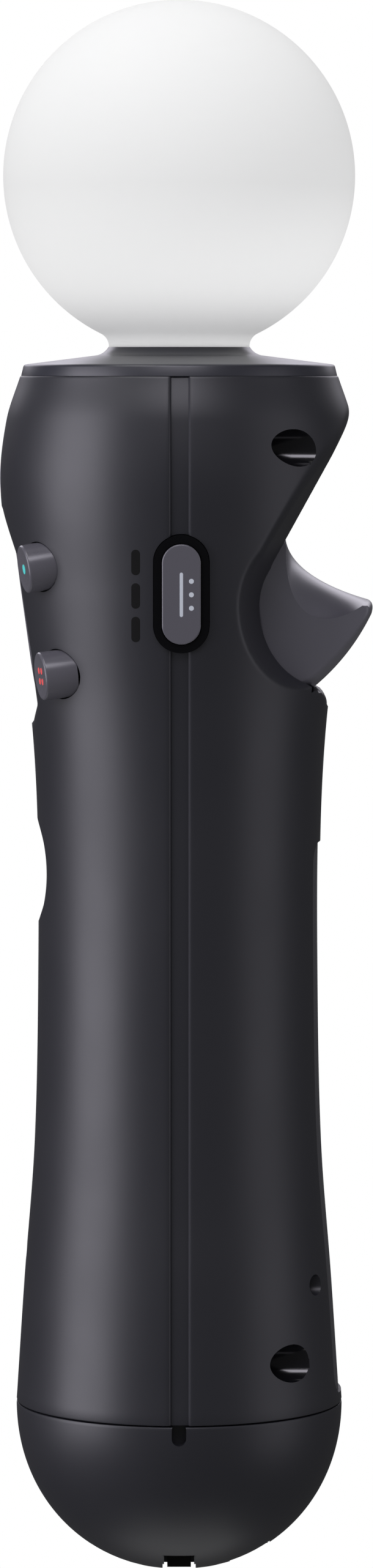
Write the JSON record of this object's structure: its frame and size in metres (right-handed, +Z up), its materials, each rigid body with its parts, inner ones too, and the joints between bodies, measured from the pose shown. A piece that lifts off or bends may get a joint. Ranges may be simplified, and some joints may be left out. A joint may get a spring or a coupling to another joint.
{
  "type": "motion controller",
  "caption": "Hand-held wand motion controller with a soft white light ball on top, thumb buttons on the front, side buttons, a rear trigger and a domed end cap.",
  "frame": {"origin": "on the wand's axis, in the plane of the small flat under the end cap, where the wand seats in its charging dock", "axes": "+Z runs up the wand to the ball; the thumb buttons face -Y and the trigger faces +Y; +X is the right-hand side, seen from behind the wand's thumb side"},
  "size_m": [0.0456, 0.0477, 0.2],
  "materials": {
    "case": "satin near-black plastic with a fine moulded grain",
    "collar": "smooth satin near-black plastic",
    "ball": "soft translucent white",
    "keys": "satin dark grey plastic",
    "bezel": "gloss black",
    "label": "satin dark grey",
    "steel": "plain steel",
    "contact": "plated contact",
    "board": "green circuit board",
    "membrane": "dark silicone",
    "battery": "wrapped cell",
    "black_part": "black plastic",
    "emitter": "clear epoxy over phosphor",
    "diffuser": "milky plastic",
    "indicator": "red light pipe"
  },
  "bodies": {
    "root": {"front_case": "case", "rear_case": "case", "end_cap": "case", "sphere_collar": "collar", "light_sphere": "ball", "trigger_pin": "steel", "trigger_spring": "steel", "trigger_sensor": "black_part", "start_switch": "steel", "select_switch": "steel", "main_board": "board", "button_board": "board", "button_membrane": "membrane", "home_switch": "steel", "battery": "battery", "battery_cradle": "black_part", "rumble_motor": "steel", "led_board": "board", "led_emitter": "emitter", "light_diffuser": "diffuser", "port_board": "board", "usb_port": "steel", "extension_port": "steel", "reset_switch": "steel", "charge_contact_left": "contact", "charge_contact_right": "contact", "case_screw_upper_left": "steel", "case_screw_upper_right": "steel", "case_screw_lower_left": "steel", "case_screw_lower_right": "steel", "status_light": "indicator", "rear_label_plate": "label", "start_bezel": "bezel", "select_bezel": "bezel"},
    "trigger": {"trigger": "keys"},
    "action_button_upper_right": {"action_button_upper_right": "keys"},
    "action_button_upper_left": {"action_button_upper_left": "keys"},
    "action_button_lower_right": {"action_button_lower_right": "keys"},
    "action_button_lower_left": {"action_button_lower_left": "keys"},
    "move_button": {"move_button": "keys"},
    "home_button": {"home_button": "keys"},
    "start_button": {"start_button": "keys"},
    "select_button": {"select_button": "keys"},
    "reset_button": {"reset_button": "keys"},
    "rumble_weight": {"rumble_weight": "steel"}
  },
  "joints": [
    {"name": "trigger_pull", "type": "hinge", "parent": "root", "child": "trigger", "pos_m": [0, 0.0106, 0.1286], "axis": [1, 0, 0], "range_deg": [-12, 0], "stiffness_Nm_per_rad": 0.08, "springref_deg": 11.46},
    {"name": "action_button_upper_right_press", "type": "slide", "parent": "root", "child": "action_button_upper_right", "axis": [-0.2556, 0.954, 0.1564], "range_m": [0, 0.001], "stiffness_N_per_m": 500, "springref_m": -0.0004},
    {"name": "action_button_upper_left_press", "type": "slide", "parent": "root", "child": "action_button_upper_left", "axis": [0.2556, 0.954, 0.1564], "range_m": [0, 0.001], "stiffness_N_per_m": 500, "springref_m": -0.0004},
    {"name": "action_button_lower_right_press", "type": "slide", "parent": "root", "child": "action_button_lower_right", "axis": [-0.2572, 0.9597, 0.1132], "range_m": [0, 0.001], "stiffness_N_per_m": 500, "springref_m": -0.0004},
    {"name": "action_button_lower_left_press", "type": "slide", "parent": "root", "child": "action_button_lower_left", "axis": [0.2572, 0.9597, 0.1132], "range_m": [0, 0.001], "stiffness_N_per_m": 500, "springref_m": -0.0004},
    {"name": "move_button_press", "type": "slide", "parent": "root", "child": "move_button", "axis": [0, 0.9904, 0.1385], "range_m": [0, 0.0008], "stiffness_N_per_m": 500, "springref_m": -0.0004},
    {"name": "home_button_press", "type": "slide", "parent": "root", "child": "home_button", "axis": [0, 1, 0], "range_m": [0, 0.0005], "stiffness_N_per_m": 500, "springref_m": -0.0004},
    {"name": "start_button_press", "type": "slide", "parent": "root", "child": "start_button", "axis": [-0.9905, 0, 0.1374], "range_m": [0, 0.0005], "stiffness_N_per_m": 500, "springref_m": -0.0004},
    {"name": "select_button_press", "type": "slide", "parent": "root", "child": "select_button", "axis": [0.9905, 0, 0.1374], "range_m": [0, 0.0005], "stiffness_N_per_m": 500, "springref_m": -0.0004},
    {"name": "reset_button_press", "type": "slide", "parent": "root", "child": "reset_button", "axis": [0, -1, 0], "range_m": [0, 0.0004], "stiffness_N_per_m": 500, "springref_m": -0.0004},
    {"name": "rumble_spin", "type": "hinge", "parent": "root", "child": "rumble_weight", "pos_m": [0, 0.005, 0.107], "axis": [0, 0, 1], "continuous": true}
  ]
}
